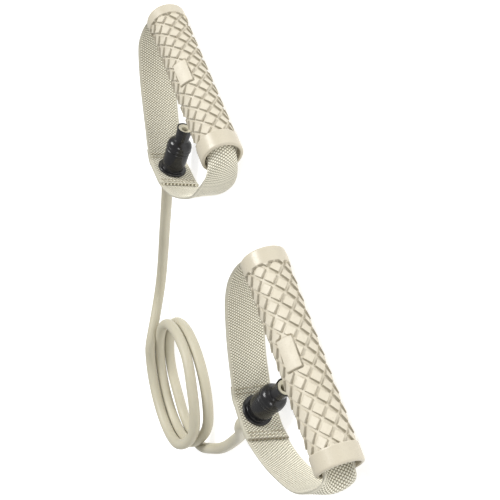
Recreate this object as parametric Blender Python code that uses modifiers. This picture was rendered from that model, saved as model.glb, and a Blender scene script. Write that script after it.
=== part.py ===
"""Exercise resistance tube with two D-shaped soft handles.

Everything is in metres, +Z up, standing on z = 0.  Each handle lies on its
side: a moulded rubber grip on a hard core tube, a webbing loop through the
bore, and a plug housing that holds the end of the elastic tube.  The tube
runs from handle A, through a loose coil of two and a half turns, to handle B.

A handle has its own flat frame: u runs along the grip axis, p points from the
grip towards the tube connector.
"""
import bpy
import bmesh
import math
import numpy as np
from mathutils import Matrix, Vector

# ------------------------------------------------------------------ constants
MM = 0.001
GAP = 0.3 * MM                     # running gap between neighbouring solids

# layout on the table
ORIGIN_SHIFT = (0.10978, 0.04870)  # moves the middle of the footprint to 0, 0
HANDLE_A_POS = (-0.2216, -0.0106)  # grip centre of handle A
HANDLE_A_ANGLE = 0.0768            # rad, handle A is turned a little
HANDLE_B_POS = (0.0, 0.0)
HANDLE_B_ANGLE = 0.0

# grip
GRIP_LENGTH = 140 * MM
COLLAR_R = 15.0 * MM
COLLAR_LENGTH = 11.4 * MM
SLEEVE_R = 14.4 * MM               # mean radius over the moulded pads
SLEEVE_BORE_R = 12.5 * MM
CORE_R = 12.2 * MM
CORE_BORE_R = 10.8 * MM
CORE_RECESS = 5.0 * MM
GRIP_Z = COLLAR_R                  # the grips lie on the table

# webbing
WEB_WIDTH = 31.8 * MM
WEB_THICK = 1.8 * MM
WEB_CURL_R = 9.4 * MM              # the strap is rolled to pass the bore
BORE_U = 63.0 * MM                 # the strap is straight up to here in the bore
WEB_P = 94.65 * MM                 # mid plane of the sewn double layer
SEW_INNER_END = 20.5 * MM          # cut end of the inner layer, along u
SEW_OUTER_END = -21.5 * MM         # cut end of the outer layer
HOLE_R = 6.3 * MM
# the connector's seat on the strap: along u, up the strap's width from its
# middle, the strap's lean and its turn in plan there
SEAT_A = dict(u=0.7 * MM, up=0.75 * MM, lean=math.radians(9.6), turn=math.radians(10.0))
SEAT_B = dict(u=-1.4 * MM, up=1.4 * MM, lean=math.radians(13.0), turn=math.radians(-0.7))

# the D of each handle, in millimetres: depth p of the strap's centre line at
# the stations LOOP_U, its lean in degrees at LEAN_U, where it lies flat beside
# the grip, and how far the bend from the bore to there swells (low edge,
# middle, high edge)
LOOP_U = (66.0, 59.0, 50.0, 40.0, 30.0, 20.5)
LEAN_U = (12.0, 22.0, 35.0, 50.0, 59.0, 66.0, 72.0)
ENDS_A = {
    +1: dict(flat=(71.7, 31.0), next=(74.0, 20.0), bore_pull=(9, 14, 13), flat_pull=(12, 16, 15),
             loop=(42.8, 53.6, 65.0, 75.4, 83.4, 89.4), lean=(9.6, 10.0, 8.0, 3.0, -1.0, -5.0, -9.0)),
    -1: dict(flat=(73.8, 31.0), next=(76.6, 20.0), bore_pull=(10, 13, 11), flat_pull=(12, 14, 13),
             loop=(46.6, 57.2, 67.6, 78.0, 86.8, 92.8), lean=(9.6, 11.5, 14.5, 12.5, 10.0, 7.0, 2.0))}
ENDS_B = {
    +1: dict(flat=(71.8, 31.0), next=(73.8, 20.0), bore_pull=(10, 21, 13), flat_pull=(11, 12, 13),
             loop=(45.3, 56.3, 68.0, 78.0, 85.6, 91.0), lean=(13.0, 13.4, 14.5, 12.5, 10.0, 8.0, 4.0)),
    -1: dict(flat=(70.8, 30.0), next=(72.2, 19.5), bore_pull=(9, 14, 9), flat_pull=(11, 12, 12),
             loop=(45.2, 55.8, 66.8, 76.6, 84.2, 90.2), lean=(13.0, 13.4, 14.5, 12.5, 10.0, 7.0, 2.0))}

# connector: radii along its own axis, h = 0 on the webbing's inner face
FLANGE_R = 11.35 * MM
FLANGE_T = 2.1 * MM
BODY_R = 9.4 * MM
WAIST_R = 8.6 * MM                 # narrow neck between flange and body
WAIST_TOP = 7.4 * MM
CAP_START = 20.2 * MM
CAP_R = 9.85 * MM
CAP_DOME = 21.6 * MM
NECK_H = 30.5 * MM
NECK_R = 5.85 * MM
MOUTH_H = 40.5 * MM
MOUTH_R = 6.35 * MM
CAVITY_R = 7.2 * MM
PLUG_H = 16.5 * MM
PLUG_R = 4.0 * MM

# elastic tube
TUBE_R = 4.6 * MM
TUBE_BORE_R = 2.75 * MM
COIL_CENTRE = (-0.0960, -0.2685)
COIL_R = 51.6 * MM
COIL_OVAL = 2.7 * MM
COIL_RING_IN = 43.0 * MM
COIL_RING_OUT = 60.0 * MM
COIL_HEIGHT = 28.6 * MM
COIL_START = math.radians(206)
COIL_END = math.radians(720 + 288)
COIL_STEP = 9.5 * MM                # from one turn to the next, upward

SEGMENTS = 32


# ------------------------------------------------------------------- helpers
def clear_scene():
    for obj in list(bpy.data.objects):
        bpy.data.objects.remove(obj, do_unlink=True)


clear_scene()

PARTS = bpy.data.collections.new("resistance_tube_with_handles")
CUTTERS = bpy.data.collections.new("cutters")
bpy.context.scene.collection.children.link(PARTS)
bpy.context.scene.collection.children.link(CUTTERS)


def material(name, colour, rough, metallic=0.0):
    mat = bpy.data.materials.new(name)
    mat.use_nodes = True
    bsdf = mat.node_tree.nodes["Principled BSDF"]
    bsdf.inputs["Base Color"].default_value = (*colour, 1.0)
    bsdf.inputs["Roughness"].default_value = rough
    bsdf.inputs["Metallic"].default_value = metallic
    mat.diffuse_color = (*colour, 1.0)
    return mat


def new_object(name, mesh, mat, parent=None, collection=None):
    obj = bpy.data.objects.new(name, mesh)
    (collection or PARTS).objects.link(obj)
    mesh.materials.append(mat)
    if parent is not None:
        obj.parent = parent
    return obj


def empty(name, matrix):
    emp = bpy.data.objects.new(name, None)
    emp.empty_display_size = 0.01
    PARTS.objects.link(emp)
    emp.matrix_world = matrix
    return emp


def turned(name, profile, mat, parent, steps=SEGMENTS):
    """Closed profile of (radius, height) turned about the local Z axis.
    It is listed down its outer side first, then up its inner side."""
    mesh = bpy.data.meshes.new(name)
    bm = bmesh.new()
    verts = [bm.verts.new((r, 0.0, h)) for r, h in profile]
    for a, b in zip(verts, verts[1:] + verts[:1]):
        bm.edges.new((a, b))
    bm.to_mesh(mesh)
    bm.free()
    obj = new_object(name, mesh, mat, parent)
    screw = obj.modifiers.new("Turn", "SCREW")
    screw.axis = "Z"
    screw.angle = 2 * math.pi
    screw.steps = steps
    screw.render_steps = steps
    screw.use_merge_vertices = True
    screw.merge_threshold = 1e-6
    screw.use_smooth_shade = True
    return obj


def smooth_spline(points, count):
    """Natural cubic spline through the points, sampled evenly by length."""
    pts = np.asarray(points, float)
    step = np.linalg.norm(np.diff(pts, axis=0), axis=1) ** 0.5
    knots = np.concatenate([[0.0], np.cumsum(step)])
    n = len(pts)
    h = np.diff(knots)
    mat = np.zeros((n, n))
    rhs = np.zeros((n, pts.shape[1]))
    mat[0, 0] = mat[-1, -1] = 1.0
    for i in range(1, n - 1):
        mat[i, i - 1] = h[i - 1]
        mat[i, i] = 2 * (h[i - 1] + h[i])
        mat[i, i + 1] = h[i]
        rhs[i] = 6 * ((pts[i + 1] - pts[i]) / h[i] - (pts[i] - pts[i - 1]) / h[i - 1])
    second = np.linalg.solve(mat, rhs)
    fine = np.linspace(0, knots[-1], 4000)
    idx = np.clip(np.searchsorted(knots, fine, side="right") - 1, 0, n - 2)
    a = (knots[idx + 1] - fine)[:, None] / h[idx][:, None]
    b = (fine - knots[idx])[:, None] / h[idx][:, None]
    hh = h[idx][:, None] ** 2 / 6
    curve = (a * pts[idx] + b * pts[idx + 1]
             + ((a ** 3 - a) * second[idx] + (b ** 3 - b) * second[idx + 1]) * hh)
    length = np.concatenate([[0.0], np.cumsum(np.linalg.norm(np.diff(curve, axis=0), axis=1))])
    want = np.linspace(0, length[-1], count)
    return np.stack([np.interp(want, length, curve[:, k]) for k in range(pts.shape[1])], axis=1)


def smoothstep(x):
    x = np.clip(x, 0.0, 1.0)
    return x * x * (3 - 2 * x)


def even_steps(rows, count):
    """Rows of points, spaced again so that every column has even steps."""
    out = np.empty((count,) + rows.shape[1:])
    for k in range(rows.shape[1]):
        line = rows[:, k]
        length = np.concatenate([[0.0], np.cumsum(np.linalg.norm(np.diff(line, axis=0), axis=1))])
        want = np.linspace(0, length[-1], count)
        for axis in range(3):
            out[:, k, axis] = np.interp(want, length, line[:, axis])
    return out


# ----------------------------------------------------------------- materials
RUBBER = material("grip_rubber", (0.72, 0.66, 0.54), 0.45)
CORE = material("core_plastic", (0.62, 0.58, 0.48), 0.5)
WEBBING = material("webbing_weave", (0.56, 0.52, 0.40), 0.9)
EYELET = material("eyelet_plastic", (0.02, 0.02, 0.022), 0.45)
HOUSING = material("housing_plastic", (0.012, 0.012, 0.014), 0.2)
PLUG = material("plug_plastic", (0.75, 0.73, 0.68), 0.4)
TUBE = material("tube_rubber", (0.52, 0.48, 0.36), 0.5)


# -------------------------------------------------------------------- handle
class Handle:
    def __init__(self, tag, pos, angle, curl, seat, ends):
        self.tag = tag
        self.ends = ends                        # shape of the strap on each side
        self.curl = curl                        # +1 rolled outward, -1 gutter
        self.seat = seat
        self.turn = seat["turn"]                # strap angle at the connector
        self.x = pos[0] + ORIGIN_SHIFT[0]
        self.y = pos[1] + ORIGIN_SHIFT[1]
        self.u = np.array([math.cos(angle), math.sin(angle), 0.0])
        self.p = np.array([math.sin(angle), -math.cos(angle), 0.0])
        self.origin = np.array([self.x, self.y, 0.0])

    def world(self, u, p, z):
        return self.origin + self.u * u + self.p * p + np.array([0, 0, z])

    def loop(self):
        """Centre line of the D in (u, p), from the near side of the grip round
        the connector to the far side."""
        pts = []
        for side in (+1, -1):
            end = self.ends[side]
            half = [(side * end["next"][0], end["next"][1]), (side * end["flat"][0], end["flat"][1])]
            half += [(side * u, p) for u, p in zip(LOOP_U, end["loop"])]
            seat_u = self.seat["u"] / MM
            for u in (seat_u + side * 12.0, seat_u + side * 6.0):
                half.append((u, WEB_P / MM - math.tan(self.turn) * u))
            pts += half if side > 0 else [(seat_u, WEB_P / MM - math.tan(self.turn) * seat_u)] + half[::-1]
        return smooth_spline(np.array(pts) * MM, 3001)

    def flat_rows(self, path, offset):
        """The strap on edge along the path: one row of points across its width
        for every station, in (u, p, z)."""
        tan = np.gradient(path, axis=0)
        tan /= np.linalg.norm(tan, axis=1)[:, None]
        out = np.stack([-tan[:, 1], tan[:, 0]], axis=1)
        if out[len(out) // 2, 1] < 0:
            out = -out
        path = path + out * offset[:, None]
        a = np.abs(path[:, 0]) / MM
        lean = np.where(path[:, 0] > 0, np.interp(a, LEAN_U, self.ends[1]["lean"]),
                        np.interp(a, LEAN_U, self.ends[-1]["lean"]))
        window = np.hanning(301) / np.hanning(301).sum()
        lean = np.radians(np.convolve(np.pad(lean, 150, mode="edge"), window, "valid"))
        height = (0.5 * WEB_WIDTH * np.cos(lean) + 0.5 * WEB_THICK * np.abs(np.sin(lean)) + 0.06 * MM)
        rows = np.empty((len(path), len(self.across), 3))
        for k, w in enumerate(self.across):
            rows[:, k, 0] = path[:, 0] - out[:, 0] * np.sin(lean) * w
            rows[:, k, 1] = path[:, 1] - out[:, 1] * np.sin(lean) * w
            rows[:, k, 2] = height + np.cos(lean) * w
        return rows

    def end_rows(self, side, flat, tangent):
        """From the rolled strap in the bore to the flat strap of the D."""
        end = self.ends[side]
        t = np.linspace(0, 1, 201)[:, None]
        rows = np.empty((201, len(self.across), 3))
        for k, w in enumerate(self.across):
            f = 2 * w / WEB_WIDTH
            reach = []
            for low, mid, high in (end["bore_pull"], end["flat_pull"]):
                reach.append((mid + 0.5 * (high - low) * f + (0.5 * (high + low) - mid) * f * f) * MM)
            phi = w / WEB_CURL_R
            p0 = np.array([side * BORE_U, -self.curl * WEB_CURL_R * math.cos(phi),
                           GRIP_Z + WEB_CURL_R * math.sin(phi)])
            c0 = p0 + np.array([side * (reach[0] + 4.2 * MM), 0.0, 0.0])
            p1 = flat[k]
            c1 = p1 - tangent[k] * reach[1]
            rows[:, k] = (1 - t) ** 3 * p0 + 3 * (1 - t) ** 2 * t * c0 + 3 * (1 - t) * t ** 2 * c1 + t ** 3 * p1
        return rows

    def strap_rows(self, cols, flat_step, end_step, bore_step):
        """Rows of points from the inner cut end, round the far side, through the
        bore, round the near side, to the outer cut end.  Both cut ends run along
        one curve, one layer inside it and one outside."""
        self.across = (np.arange(cols) / (cols - 1) - 0.5) * WEB_WIDTH
        path = self.loop()
        near_u, near_p = (x * MM for x in self.ends[1]["flat"])
        far_u, far_p = (x * MM for x in self.ends[-1]["flat"])
        near = int(np.argmin(np.hypot(path[:, 0] - near_u, path[:, 1] - near_p)))
        far = int(np.argmin(np.hypot(path[:, 0] + far_u, path[:, 1] - far_p)))
        first = int(np.argmax(path[:, 0] < SEW_INNER_END))
        last = int(np.argmax(path[:, 0] < SEW_OUTER_END))
        inner, outer = path[first:far + 1], path[near:last + 1]
        lay = 0.5 * (WEB_THICK + GAP)
        inner = self.flat_rows(inner, -lay * (1 - smoothstep((-inner[:, 0] - 26 * MM) / (34 * MM))))
        outer = self.flat_rows(outer, lay * (1 - smoothstep((outer[:, 0] - 26 * MM) / (34 * MM))))
        tan_far = inner[-2] - inner[-1]
        tan_near = outer[1] - outer[0]
        tan_far /= np.linalg.norm(tan_far, axis=1)[:, None]
        tan_near /= np.linalg.norm(tan_near, axis=1)[:, None]
        far_end = self.end_rows(-1, inner[-1], tan_far)[::-1]
        near_end = self.end_rows(+1, outer[0], tan_near)
        bore = np.stack([far_end[-1], near_end[0]])
        runs = [(inner, flat_step), (far_end, end_step), (bore, bore_step),
                (near_end, end_step), (outer, flat_step)]
        rows = []
        for k, (run, step) in enumerate(runs):
            middle = run[:, cols // 2]
            count = max(2, int(round(np.linalg.norm(np.diff(middle, axis=0), axis=1).sum() / step)) + 1)
            run = even_steps(run, count)
            rows.append(run if k == len(runs) - 1 else run[:-1])
        return np.concatenate(rows)

    def strap_mesh(self):
        rows = self.strap_rows(7, 6.5 * MM, 3.4 * MM, 18 * MM)
        mesh = bpy.data.meshes.new("webbing_" + self.tag)
        bm = bmesh.new()
        grid = [[bm.verts.new(self.world(*point)) for point in row] for row in rows]
        for r0, r1 in zip(grid, grid[1:]):
            for k in range(len(r0) - 1):
                bm.faces.new((r0[k], r0[k + 1], r1[k + 1], r1[k]))
        bm.to_mesh(mesh)
        bm.free()
        return mesh

    def connector_matrix(self):
        """Local Z runs from the webbing's inner face to the mouth."""
        lay = WEB_THICK + 0.5 * GAP
        u, up, lean = self.seat["u"], self.seat["up"], self.seat["lean"]
        middle = 0.5 * WEB_WIDTH * math.cos(lean) + 0.5 * WEB_THICK * math.sin(lean) + 0.06 * MM
        nrm = self.u * math.sin(self.turn) + self.p * math.cos(self.turn)
        face = nrm * math.cos(lean) + np.array([0, 0, 1.0]) * math.sin(lean)
        width = np.array([0, 0, 1.0]) * math.cos(lean) - nrm * math.sin(lean)
        pos = self.world(u, WEB_P - math.tan(self.turn) * u, middle) + width * up - face * lay
        zaxis = Vector(-face)
        xaxis = Vector((0, 0, 1)).cross(zaxis).normalized()
        yaxis = zaxis.cross(xaxis)
        rot = Matrix((xaxis, yaxis, zaxis)).transposed().to_4x4()
        return Matrix.Translation(Vector(pos)) @ rot

    def grip_matrix(self):
        zaxis = Vector(self.u)
        xaxis = Vector(self.p)
        yaxis = zaxis.cross(xaxis)
        rot = Matrix((xaxis, yaxis, zaxis)).transposed().to_4x4()
        return Matrix.Translation(Vector(self.world(0, 0, GRIP_Z))) @ rot

    def build(self):
        tag = self.tag
        # grip: sleeve with end collars on a core tube
        axis = empty("grip_%s_axis" % tag, self.grip_matrix())
        L = GRIP_LENGTH / 2
        c = COLLAR_LENGTH
        r = 1.2 * MM
        outer = [(COLLAR_R - r, L), (COLLAR_R - 0.3 * r, L - 0.3 * r), (COLLAR_R, L - r),
                 (COLLAR_R, L - c + 0.6 * MM), (SLEEVE_R, L - c - 0.4 * MM)]
        outer += [(SLEEVE_R, 0.0)]
        outer += [(a, -b) for a, b in reversed(outer[:-1])]
        inner = [(SLEEVE_BORE_R + 0.5 * MM, -L), (SLEEVE_BORE_R, -L + 1.5 * MM),
                 (SLEEVE_BORE_R, L - 1.5 * MM), (SLEEVE_BORE_R + 0.5 * MM, L)]
        turned("grip_sleeve_" + tag, outer + inner, RUBBER, axis)
        Lc = L - CORE_RECESS
        turned("grip_core_" + tag,
               [(CORE_R, Lc), (CORE_R, -Lc), (CORE_BORE_R, -Lc), (CORE_BORE_R, Lc)],
               CORE, axis, steps=32)

        # webbing loop
        strap = new_object("webbing_" + tag, self.strap_mesh(), WEBBING)
        solid = strap.modifiers.new("Thickness", "SOLIDIFY")
        solid.thickness = WEB_THICK
        solid.offset = 0.0
        con = self.connector_matrix()
        bpy.ops.mesh.primitive_cylinder_add(vertices=32, radius=HOLE_R, depth=16 * MM)
        cut = bpy.context.object
        cut.name = "hole_cutter_" + tag
        cut.matrix_world = con @ Matrix.Translation((0, 0, -2 * MM))
        for col in list(cut.users_collection):
            col.objects.unlink(cut)
        CUTTERS.objects.link(cut)
        cut.hide_render = True
        cut.display_type = "WIRE"
        hole = strap.modifiers.new("Hole", "BOOLEAN")
        hole.operation = "DIFFERENCE"
        hole.solver = "EXACT"
        hole.object = cut

        # eyelet on the outside of the webbing, fixed to it
        pivot = empty("connector_%s_axis" % tag, con)
        back = -(2 * WEB_THICK + GAP)
        e0 = back - GAP
        turned("eyelet_" + tag,
               [(6.0 * MM, -0.1 * MM), (6.0 * MM, e0), (8.8 * MM, e0), (9.4 * MM, e0 - 0.5 * MM),
                (9.0 * MM, e0 - 1.1 * MM), (7.0 * MM, e0 - 1.5 * MM),
                (5.3 * MM, e0 - 1.5 * MM), (5.3 * MM, -0.1 * MM)],
               EYELET, pivot, steps=24)

        # housing: flanged lower body, domed cap with a flared neck
        g = GAP
        body = [(BODY_R - 0.8 * MM, CAP_START - g), (BODY_R - 0.25 * MM, CAP_START - g - 0.25 * MM),
                (BODY_R, CAP_START - g - 0.8 * MM), (BODY_R, WAIST_TOP + 1.0 * MM),
                (BODY_R - 0.6 * MM, WAIST_TOP + 0.1 * MM), (WAIST_R, WAIST_TOP - 0.2 * MM),
                (WAIST_R, FLANGE_T + g + 0.4 * MM), (WAIST_R + 0.4 * MM, FLANGE_T + g),
                (FLANGE_R - 0.6 * MM, FLANGE_T + g), (FLANGE_R, FLANGE_T + g - 0.7 * MM),
                (FLANGE_R, g + 0.5 * MM), (FLANGE_R - 0.5 * MM, g),
                (5.3 * MM, g), (5.3 * MM, 3.2 * MM), (CAVITY_R, 6.4 * MM), (CAVITY_R, CAP_START - g)]
        turned("connector_body_" + tag, body, HOUSING, pivot)
        cap = [(MOUTH_R - 0.1 * MM, MOUTH_H)]
        for k in range(1, 5):
            t = k / 4
            h = MOUTH_H + (NECK_H - MOUTH_H) * t
            cap.append((NECK_R + (MOUTH_R - NECK_R) * (1 - t) ** 2, h))
        for k in range(1, 8):
            t = 1 - k / 7
            h = CAP_DOME + (NECK_H - CAP_DOME) * t
            cap.append((NECK_R + (CAP_R - NECK_R) * (1 - t ** 2.4) ** (1 / 2.4), h))
        cap += [(CAP_R, CAP_START + 0.6 * MM), (CAP_R - 0.55 * MM, CAP_START),
                (CAVITY_R, CAP_START), (CAVITY_R, 23.6 * MM), (5.35 * MM, 28.5 * MM),
                (5.3 * MM, MOUTH_H)]
        turned("connector_cap_" + tag, cap, HOUSING, pivot)

        # the end of the tube, swollen by the plug inside it
        t0 = e0 - 1.5 * MM - 2.0 * MM
        end = []
        heights = [39.3, 30.0, 25.5, 22.0, 19.0, PLUG_H / MM, 14.0, 11.0, 7.5, 3.0]
        for h in heights:
            swell = math.exp(-((h - PLUG_H / MM) / 5.2) ** 2)
            end.append((TUBE_R + 0.05 * MM + 1.75 * MM * swell, h * MM))
        end.append((TUBE_R, t0))
        bore = [(TUBE_BORE_R, t0)]
        for h in reversed(heights):
            swell = math.exp(-((h - PLUG_H / MM) / 4.4) ** 2)
            bore.append((TUBE_BORE_R + 1.75 * MM * swell, h * MM))
        turned("tube_end_" + tag, end + bore, TUBE, pivot, steps=24)
        bpy.ops.mesh.primitive_uv_sphere_add(segments=18, ring_count=10, radius=PLUG_R)
        ball = bpy.context.object
        ball.name = "plug_ball_" + tag
        ball.data.name = "plug_ball_" + tag
        for col in list(ball.users_collection):
            col.objects.unlink(ball)
        PARTS.objects.link(ball)
        ball.data.materials.append(PLUG)
        ball.parent = pivot
        ball.location = (0, 0, PLUG_H)
        self.exit = con @ Vector((0, 0, t0))
        self.exit_dir = -(con.to_3x3() @ Vector((0, 0, 1)))


HANDLE_A = Handle("a", HANDLE_A_POS, HANDLE_A_ANGLE, +1, SEAT_A, ENDS_A)
HANDLE_B = Handle("b", HANDLE_B_POS, HANDLE_B_ANGLE, -1, SEAT_B, ENDS_B)
bpy.context.view_layer.update()
HANDLE_A.build()
HANDLE_B.build()


# ---------------------------------------------------------------------- tube
def coil_point(angle):
    """The tube's centre in the coil: each turn steps down a layer, and the last
    one comes in a little before it leaves."""
    deg = math.degrees(angle)
    r = COIL_R + COIL_OVAL * math.cos(2 * angle)
    if 935 < deg < 1035:
        r -= 5.5 * MM * math.cos(math.radians(90 * (deg - 985) / 50)) ** 2
    drop = 0.72 * smoothstep((deg - 330) / 52) + 0.28 * smoothstep((deg - 412) / 50)
    z = TUBE_R + COIL_STEP * (2 - drop - smoothstep((deg - 690) / 55))
    return (COIL_CENTRE[0] + ORIGIN_SHIFT[0] + r * math.cos(angle),
            COIL_CENTRE[1] + ORIGIN_SHIFT[1] + r * math.sin(angle), float(z) + 0.1 * MM)


def shifted(x, y, z):
    return (x + ORIGIN_SHIFT[0], y + ORIGIN_SHIFT[1], z)


def exit_run(handle, runs, first=0.3 * MM):
    s, d = handle.exit, handle.exit_dir
    return [tuple(s + d * run) for run in (first,) + runs]


ROUTE_IN = exit_run(HANDLE_A, (4 * MM,)) + [
    shifted(-0.2110, -0.1212, 0.0179), shifted(-0.2102, -0.1310, 0.0166),
    shifted(-0.2086, -0.1420, 0.0156), shifted(-0.2066, -0.1540, 0.0146),
    shifted(-0.2042, -0.1720, 0.0130),
    shifted(-0.2024, -0.1980, 0.0100), shifted(-0.1984, -0.2270, 0.0074),
    shifted(-0.1905, -0.2520, 0.0072), shifted(-0.1790, -0.2680, 0.0104),
    shifted(-0.1640, -0.2765, 0.0163), shifted(-0.1520, -0.2835, 0.0212)]
ROUTE_OUT = [
    shifted(-0.0560, -0.3030, 0.0048), shifted(-0.0385, -0.2850, 0.0048),
    shifted(-0.0290, -0.2620, 0.0048), shifted(-0.0205, -0.2370, 0.0048),
    shifted(-0.0145, -0.2100, 0.0048), shifted(-0.0100, -0.1800, 0.0062),
    shifted(-0.0050, -0.1500, 0.0125)] + list(reversed(exit_run(HANDLE_B, (6 * MM, 15 * MM))))


def tube(name, route, count, cut_end, exit_at):
    path = smooth_spline(route, count)
    # a straight piece where the tube leaves the connector
    if exit_at == "start":
        path = np.insert(path, 1, route[1], axis=0)
    else:
        path = np.insert(path, len(path) - 1, route[-2], axis=0)
    curve = bpy.data.curves.new(name, "CURVE")
    curve.dimensions = "3D"
    spline = curve.splines.new("POLY")
    spline.points.add(len(path) - 1)
    for point, co in zip(spline.points, path):
        point.co = (*co, 1.0)
    curve.bevel_depth = TUBE_R
    curve.bevel_resolution = 3
    curve.render_resolution_u = 0
    curve.use_fill_caps = True
    guide = bpy.data.objects.new(name + "_guide", curve)
    PARTS.objects.link(guide)
    bpy.context.view_layer.update()
    deps = bpy.context.evaluated_depsgraph_get()
    mesh = bpy.data.meshes.new_from_object(guide.evaluated_get(deps))
    mesh.name = name
    bm = bmesh.new()
    bm.from_mesh(mesh)
    bmesh.ops.remove_doubles(bm, verts=bm.verts, dist=1e-6)
    bmesh.ops.recalc_face_normals(bm, faces=bm.faces)
    bm.to_mesh(mesh)
    bm.free()
    obj = new_object(name, mesh, TUBE)
    obj.matrix_world = guide.matrix_world
    bpy.data.objects.remove(guide, do_unlink=True)
    cut = obj.modifiers.new("Meets coil", "BOOLEAN")
    cut.operation = "DIFFERENCE"
    cut.solver = "EXACT"
    cut.object = cut_end
    return obj


bpy.ops.mesh.primitive_cylinder_add(
    vertices=72, radius=COIL_RING_OUT + 0.5 * MM, depth=0.12,
    location=(COIL_CENTRE[0] + ORIGIN_SHIFT[0], COIL_CENTRE[1] + ORIGIN_SHIFT[1], 0.03))
coil_cutter = bpy.context.object
coil_cutter.name = "coil_cutter"
for col in list(coil_cutter.users_collection):
    col.objects.unlink(coil_cutter)
CUTTERS.objects.link(coil_cutter)
coil_cutter.hide_render = True
coil_cutter.display_type = "WIRE"

coil_in = [coil_point(COIL_START + math.radians(k)) for k in (0, 12)]
coil_out = [coil_point(COIL_END + math.radians(k)) for k in (-12, 0)]
tube("tube_a", ROUTE_IN + coil_in, 20, coil_cutter, "start")
tube("tube_b", coil_out + ROUTE_OUT, 20, coil_cutter, "end")

coil_axis = empty("coil_axis", Matrix.Translation(
    (COIL_CENTRE[0] + ORIGIN_SHIFT[0], COIL_CENTRE[1] + ORIGIN_SHIFT[1], 0)))
b = 2.5 * MM
turned("tube_coil",
       [(COIL_RING_OUT - b, COIL_HEIGHT), (COIL_RING_OUT, COIL_HEIGHT - b),
        (COIL_RING_OUT, b), (COIL_RING_OUT - b, 0.0),
        (COIL_RING_IN + b, 0.0), (COIL_RING_IN, b),
        (COIL_RING_IN, COIL_HEIGHT - b), (COIL_RING_IN + b, COIL_HEIGHT)],
       TUBE, coil_axis, steps=48)

for obj in PARTS.objects:
    if obj.type == "MESH":
        obj.data.shade_smooth()
        obj.data.set_sharp_from_angle(angle=math.radians(35))
bpy.context.view_layer.update()
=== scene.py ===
"""Looks for the elastic resistance tube with two soft handles.

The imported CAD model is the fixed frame.  Everything here is in metres in that
frame.  A handle has its own flat frame: u runs along the grip, p points from
the grip to the tube connector.
"""
import math

import bpy
import numpy as np
from mathutils import Matrix, Vector


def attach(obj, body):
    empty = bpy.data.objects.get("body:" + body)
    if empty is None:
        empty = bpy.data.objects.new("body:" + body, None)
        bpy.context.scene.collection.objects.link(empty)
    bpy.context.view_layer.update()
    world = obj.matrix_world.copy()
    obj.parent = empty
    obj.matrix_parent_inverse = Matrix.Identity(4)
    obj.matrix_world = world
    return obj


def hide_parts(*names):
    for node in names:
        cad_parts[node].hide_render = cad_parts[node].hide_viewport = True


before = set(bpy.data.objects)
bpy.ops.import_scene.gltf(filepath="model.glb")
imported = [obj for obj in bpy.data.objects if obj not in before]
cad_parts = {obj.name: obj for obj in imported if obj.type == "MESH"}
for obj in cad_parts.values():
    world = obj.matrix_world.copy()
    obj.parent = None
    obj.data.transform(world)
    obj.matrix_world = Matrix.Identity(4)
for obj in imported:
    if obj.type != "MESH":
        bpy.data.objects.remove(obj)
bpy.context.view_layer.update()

MM = 0.001
GAP = 0.3 * MM
scene = bpy.context.scene
scene.view_settings.view_transform = "Standard"
scene.view_settings.look = "None"
scene.view_settings.exposure = 0.0
scene.view_settings.gamma = 1.0


# -------------------------------------------------------------------- camera
def add_camera():
    rows = np.array([[0.3057, 0.2448, -0.9201],
                     [-0.8476, 0.5103, -0.1458],
                     [0.4338, 0.8244, 0.3635]])
    left, _, right = np.linalg.svd(rows)
    rows = left @ right
    data = bpy.data.cameras.new("camera")
    data.sensor_width = 36.0
    data.lens = 62.148
    data.clip_start, data.clip_end = 0.02, 100.0
    cam = bpy.data.objects.new("camera", data)
    scene.collection.objects.link(cam)
    turn = Matrix([[float(rows[c][r]) for c in range(3)] for r in range(3)])
    cam.matrix_world = Matrix.Translation((0.26978, 0.49798, 0.21953)) @ turn.to_4x4()
    scene.camera = cam


add_camera()


# ------------------------------------------------------------- mesh helpers
def smooth_spline(points, count):
    """Natural cubic spline through the points, sampled evenly by length."""
    pts = np.asarray(points, float)
    step = np.linalg.norm(np.diff(pts, axis=0), axis=1) ** 0.5
    knots = np.concatenate([[0.0], np.cumsum(step)])
    n = len(pts)
    h = np.diff(knots)
    mat = np.zeros((n, n))
    rhs = np.zeros((n, pts.shape[1]))
    mat[0, 0] = mat[-1, -1] = 1.0
    for i in range(1, n - 1):
        mat[i, i - 1] = h[i - 1]
        mat[i, i] = 2 * (h[i - 1] + h[i])
        mat[i, i + 1] = h[i]
        rhs[i] = 6 * ((pts[i + 1] - pts[i]) / h[i] - (pts[i] - pts[i - 1]) / h[i - 1])
    second = np.linalg.solve(mat, rhs)
    fine = np.linspace(0, knots[-1], 4000)
    idx = np.clip(np.searchsorted(knots, fine, side="right") - 1, 0, n - 2)
    a = (knots[idx + 1] - fine)[:, None] / h[idx][:, None]
    b = (fine - knots[idx])[:, None] / h[idx][:, None]
    hh = h[idx][:, None] ** 2 / 6
    curve = (a * pts[idx] + b * pts[idx + 1]
             + ((a ** 3 - a) * second[idx] + (b ** 3 - b) * second[idx + 1]) * hh)
    length = np.concatenate([[0.0], np.cumsum(np.linalg.norm(np.diff(curve, axis=0), axis=1))])
    want = np.linspace(0, length[-1], count)
    return np.stack([np.interp(want, length, curve[:, k]) for k in range(pts.shape[1])], axis=1)


def smoothstep(x):
    x = np.clip(x, 0.0, 1.0)
    return x * x * (3 - 2 * x)


def even_steps(rows, count):
    out = np.empty((count,) + rows.shape[1:])
    for k in range(rows.shape[1]):
        line = rows[:, k]
        length = np.concatenate([[0.0], np.cumsum(np.linalg.norm(np.diff(line, axis=0), axis=1))])
        want = np.linspace(0, length[-1], count)
        for axis in range(3):
            out[:, k, axis] = np.interp(want, length, line[:, axis])
    return out


def unit(v):
    return v / np.maximum(np.linalg.norm(v, axis=-1, keepdims=True), 1e-12)


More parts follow.
